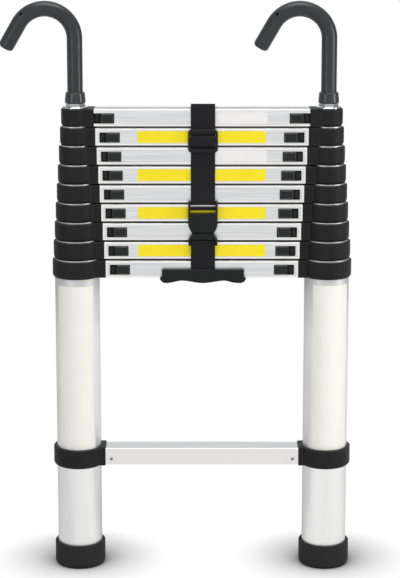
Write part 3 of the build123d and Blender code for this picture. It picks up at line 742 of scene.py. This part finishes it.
def vinyl(name, code, pale_code):
    """Calendered vinyl: an even colour, satin, with slight waves where it was rubbed down."""
    material, shader = new_finish(name, Specular_IOR_Level=0.4)
    place = add_node(material, "ShaderNodeTexCoord").outputs["Object"]
    waves = add_node(
        material, "ShaderNodeTexNoise", {"Vector": place, "Scale": 1 / rubbed_wave, "Detail": 3.0},
    )
    tone = add_node(material, "ShaderNodeValToRGB", {"Fac": waves.outputs["Fac"]})
    tone.color_ramp.elements[0].color = linear(code)
    tone.color_ramp.elements[1].color = linear(pale_code)
    gloss = add_node(
        material, "ShaderNodeMapRange",
        {"Value": waves.outputs["Fac"], "To Min": 0.32, "To Max": 0.46},
    )
    relief = add_node(
        material, "ShaderNodeBump",
        {"Height": waves.outputs["Fac"], "Strength": 0.1, "Distance": 0.2 * mm},
    )
    link(
        material, shader, Base_Color=tone.outputs["Color"],
        Roughness=gloss.outputs["Result"], Normal=relief.outputs["Normal"],
    )
    return material


def rung_film(name, rung, ends, half_height, material):
    """Strip with rounded corners, stuck on the sunk front panel of a rung."""
    low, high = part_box(f"rung_{rung}")
    middle = (low.z + high.z) / 2
    left, right = ends
    panel_y = low.y + panel_sink
    bpy.ops.object.select_all(action="DESELECT")
    bpy.ops.mesh.primitive_plane_add(
        size=1, rotation=(pi / 2, 0, 0), location=((left + right) / 2, panel_y, middle),
    )
    film = bpy.context.object
    film.name = name
    film.scale = (right - left, 2 * half_height, 1)
    bpy.ops.object.transform_apply(location=True, rotation=True, scale=True)
    bpy.ops.object.mode_set(mode="EDIT")
    bpy.ops.mesh.select_all(action="SELECT")
    bpy.ops.mesh.bevel(offset=film_corner, segments=4, affect="VERTICES")
    bpy.ops.mesh.select_all(action="SELECT")
    bpy.ops.mesh.extrude_region_move(TRANSFORM_OT_translate={"value": (0, -film_thickness, 0)})
    bpy.ops.mesh.select_all(action="SELECT")
    bpy.ops.mesh.normals_make_consistent(inside=False)
    bpy.ops.object.mode_set(mode="OBJECT")
    film.data.materials.append(material)
    bodies = frame["record"]["behaviour"]["bodies"]
    body = next(carrier for carrier, members in bodies.items() if f"rung_{rung}" in members)
    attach(film, body)


yellow_vinyl = vinyl("yellow_vinyl_film", "#e6d110", "#edda16")
white_vinyl = vinyl("white_vinyl_film", "#dcdad8", "#e4e3e1")
yellow_ends = (-98.5 * mm, 96.9 * mm)
yellow_half = 9.2 * mm
white_ends = (17.4 * mm, 99.2 * mm)
white_half = 9.6 * mm
for rung in (3, 5, 7, 9):
    rung_film(f"yellow_film_{rung}", rung, yellow_ends, yellow_half, yellow_vinyl)
for rung in (8, 10):
    rung_film(f"white_film_{rung}", rung, white_ends, white_half, white_vinyl)

tube_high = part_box("tubes_1")[1]
tube_r = tube_high.y
stile_x = tube_high.x - tube_r
cream_vinyl = vinyl("cream_vinyl_film", "#e2dfd7", "#e9e6df")
film_bottom = 194 * mm
half_wrap = radians(51)
for side, x, turn, film_top in (
    ("left", -stile_x, radians(-3), 454 * mm),
    ("right", stile_x, radians(11), 456 * mm),
):
    facing = Vector((sin(turn), -cos(turn), 0))
    bpy.ops.object.select_all(action="DESELECT")
    bpy.ops.mesh.primitive_cylinder_add(
        vertices=180, radius=tube_r + film_seat, depth=film_top - film_bottom, end_fill_type="NOTHING",
        location=(x, 0, (film_bottom + film_top) / 2),
    )
    film = bpy.context.object
    film.name = f"tube_film_{side}"
    bpy.ops.object.transform_apply(location=True, rotation=True, scale=True)
    bpy.ops.object.mode_set(mode="EDIT")
    bpy.ops.mesh.select_mode(type="FACE")
    bpy.ops.mesh.select_all(action="DESELECT")
    bpy.ops.object.mode_set(mode="OBJECT")
    for face in film.data.polygons:
        face.select = facing.angle(face.normal) > half_wrap
    bpy.ops.object.mode_set(mode="EDIT")
    bpy.ops.mesh.delete(type="FACE")
    bpy.ops.object.mode_set(mode="OBJECT")
    thicken = film.modifiers.new("thickness", "SOLIDIFY")
    thicken.thickness = film_thickness
    thicken.offset = 1
    apply_all(film)
    bpy.ops.object.shade_smooth_by_angle(angle=radians(40))
    film.data.materials.append(cream_vinyl)
    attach(film, "base")


# Studio: a white floor under a large softbox, with a wide one in front and a narrow strip each side.
# The floor is white to the camera and in reflections, shaded where the ladder's feet shelter it.
# Pale grey cards beside and behind the ladder show only in reflections and give the metal its shading.
floor_size = 60
shadow_reach = 105 * mm
shadow_lean = radians(20)
shadow_fall = 2.6


def white_to_camera(owner, shaded, lit):
    """Mixes two shaders, so that camera, glossy and transmission rays meet the lit one."""
    ray = add_node(owner, "ShaderNodeLightPath")
    seen = add_node(
        owner, "ShaderNodeMath",
        {0: ray.outputs["Is Camera Ray"], 1: ray.outputs["Is Glossy Ray"]}, operation="MAXIMUM",
    )
    seen = add_node(
        owner, "ShaderNodeMath",
        {0: seen.outputs["Value"], 1: ray.outputs["Is Transmission Ray"]}, operation="MAXIMUM",
    )
    return add_node(owner, "ShaderNodeMixShader", {0: seen.outputs["Value"], 1: shaded, 2: lit})


bpy.ops.object.select_all(action="DESELECT")
bpy.ops.mesh.primitive_plane_add(size=floor_size)
floor = bpy.context.object
floor.name = "floor"
floor_finish, shader = new_finish(
    "white_floor_paper", Base_Color=linear("#f4f4f4"), Roughness=0.9, Specular_IOR_Level=0.1,
)
leaning = add_node(floor_finish, "ShaderNodeCombineXYZ", {"Y": -sin(shadow_lean), "Z": cos(shadow_lean)})
shelter = add_node(
    floor_finish, "ShaderNodeAmbientOcclusion",
    {"Distance": shadow_reach, "Normal": leaning.outputs["Vector"]},
)
shade = add_node(
    floor_finish, "ShaderNodeMath", {0: shelter.outputs["AO"], 1: shadow_fall}, operation="POWER",
)
paper = add_node(
    floor_finish, "ShaderNodeEmission", {"Color": (1, 1, 1, 1), "Strength": shade.outputs["Value"]},
)
mixed = white_to_camera(floor_finish, shader.outputs["BSDF"], paper.outputs["Emission"])
output = floor_finish.node_tree.nodes["Material Output"]
floor_finish.node_tree.links.new(mixed.outputs["Shader"], output.inputs["Surface"])
floor.data.materials.append(floor_finish)

world = bpy.data.worlds.new("studio")
bpy.context.scene.world = world
world.use_nodes = True
world.node_tree.nodes.clear()
soft = add_node(world, "ShaderNodeBackground", {"Color": (1, 1, 1, 1), "Strength": 0.2})
white = add_node(world, "ShaderNodeBackground", {"Color": (1, 1, 1, 1), "Strength": 1.0})
mixed = white_to_camera(world, soft.outputs["Background"], white.outputs["Background"])
add_node(world, "ShaderNodeOutputWorld", {"Surface": mixed.outputs["Shader"]})

for name, place, turn, reach, code in (
    ("left_card", (-0.8, 0.8, 0.6), (0, pi / 2, 0), (2.0, 2.8), "#dcdcde"),
    ("right_card", (1.0, 1.0, 1.05), (0, pi / 2, 0), (1.1, 2.4), "#b4b4b6"),
    ("left_floor_card", (-1.3, 0.8, 0.001), (0, 0, 0), (2.1, 2.4), "#e4e4e6"),
    ("back_floor_card", (-0.02, 1.04, 0.001), (0, 0, 0), (0.44, 2.0), "#d8d8da"),
):
    bpy.ops.object.select_all(action="DESELECT")
    bpy.ops.mesh.primitive_plane_add(size=1, rotation=turn, location=place)
    card = bpy.context.object
    card.name = name
    card.scale = (*reach, 1)
    bpy.ops.object.transform_apply(location=True, rotation=True, scale=True)
    card_finish, shader = new_finish(
        name, Base_Color=(0, 0, 0, 1), Specular_IOR_Level=0.0,
        Emission_Color=linear(code), Emission_Strength=1.0,
    )
    card.data.materials.append(card_finish)
    card.visible_camera = False
    card.visible_diffuse = False
    card.visible_shadow = False

for name, place, turn, power, width, height, mirrored in (
    ("overhead_softbox", (0.38, -1.32, 8.0), (radians(10), 0, 0), 400, 5.3, 3.8, True),
    ("front_softbox", (0.6, -2.6, 1.05), (radians(80), 0, radians(13)), 26, 2.6, 0.6, False),
    ("left_strip", (-1.2, -1.4, 0.8), (radians(90), 0, radians(-45)), 3.4, 0.35, 0.8, True),
    ("right_strip", (1.5, -0.6, 0.8), (radians(90), 0, radians(70)), 8.0, 0.35, 0.8, True),
):
    lamp = bpy.data.lights.new(name, "AREA")
    lamp.shape = "RECTANGLE"
    lamp.energy = power
    lamp.size = width
    lamp.size_y = height
    light = bpy.data.objects.new(name, lamp)
    light.location = place
    light.rotation_euler = turn
    light.visible_glossy = mirrored
    bpy.context.collection.objects.link(light)

camera_place = (-3.0 * mm, -2722.8 * mm, 1063.9 * mm)
camera_dip = 10.081
camera = bpy.data.cameras.new("photo_camera")
camera.lens = 111.99
camera.shift_y = -0.15
viewer = bpy.data.objects.new("photo_camera", camera)
viewer.location = camera_place
viewer.rotation_euler = (radians(90 - camera_dip), 0, 0)
bpy.context.collection.objects.link(viewer)
bpy.context.scene.camera = viewer
bpy.context.scene.view_settings.view_transform = "Standard"
